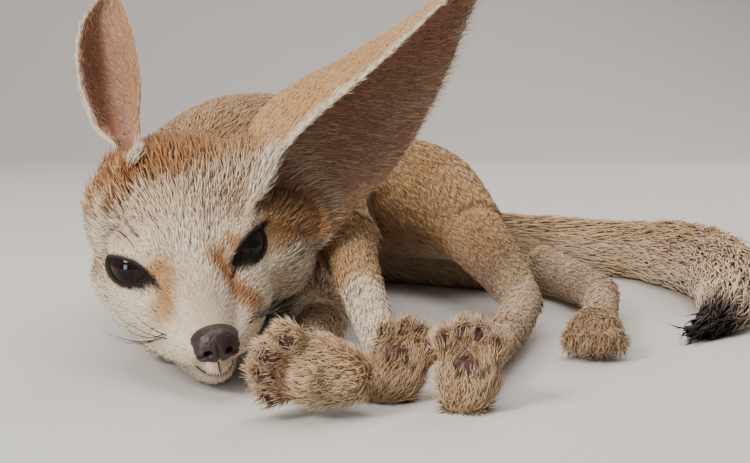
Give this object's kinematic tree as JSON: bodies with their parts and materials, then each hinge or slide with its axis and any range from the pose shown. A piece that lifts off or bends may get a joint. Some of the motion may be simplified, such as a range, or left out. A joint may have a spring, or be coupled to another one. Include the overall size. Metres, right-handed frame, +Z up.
{
  "type": "fennec fox",
  "caption": "Life-size still model of a fennec fox lying on its side with its chin on the floor, large ears up, legs forward and tail curled round.",
  "frame": {"origin": "middle of the model's footprint, on the floor that it lies on", "axes": "+Z up, -Y towards the muzzle and paws, +X towards the fox's left, where the tail is curled"},
  "size_m": [0.2444, 0.318, 0.1196],
  "materials": {
    "coat": "short dense fur",
    "cream": "thin skin with short fur",
    "leather": "moist pebbled skin",
    "eye": "wet gloss",
    "horn": "satin horn"
  },
  "bodies": {
    "root": {"claw_forepaw_left_1": "horn", "claw_forepaw_left_2": "horn", "claw_forepaw_left_3": "horn", "claw_forepaw_left_4": "horn", "claw_forepaw_right_1": "horn", "claw_forepaw_right_2": "horn", "claw_forepaw_right_3": "horn", "claw_forepaw_right_4": "horn", "claw_hindpaw_left_1": "horn", "claw_hindpaw_left_2": "horn", "claw_hindpaw_left_3": "horn", "claw_hindpaw_left_4": "horn", "claw_hindpaw_right_1": "horn", "claw_hindpaw_right_2": "horn", "claw_hindpaw_right_3": "horn", "claw_hindpaw_right_4": "horn", "ear_left": "cream", "ear_right": "cream", "eye_left": "eye", "eye_right": "eye", "foreleg_left_lower": "coat", "foreleg_left_upper": "coat", "foreleg_right": "coat", "forepaw_left": "coat", "forepaw_right": "coat", "head": "coat", "hindfoot_left": "coat", "hindfoot_right": "coat", "hindleg_left_shank": "coat", "hindleg_left_thigh": "coat", "hindleg_right": "coat", "hindpaw_left": "coat", "hindpaw_right": "coat", "neck": "coat", "nose": "leather", "tail_base": "coat", "tail_brush": "coat", "torso_front": "coat", "torso_rear": "coat"}
  },
  "joints": []
}
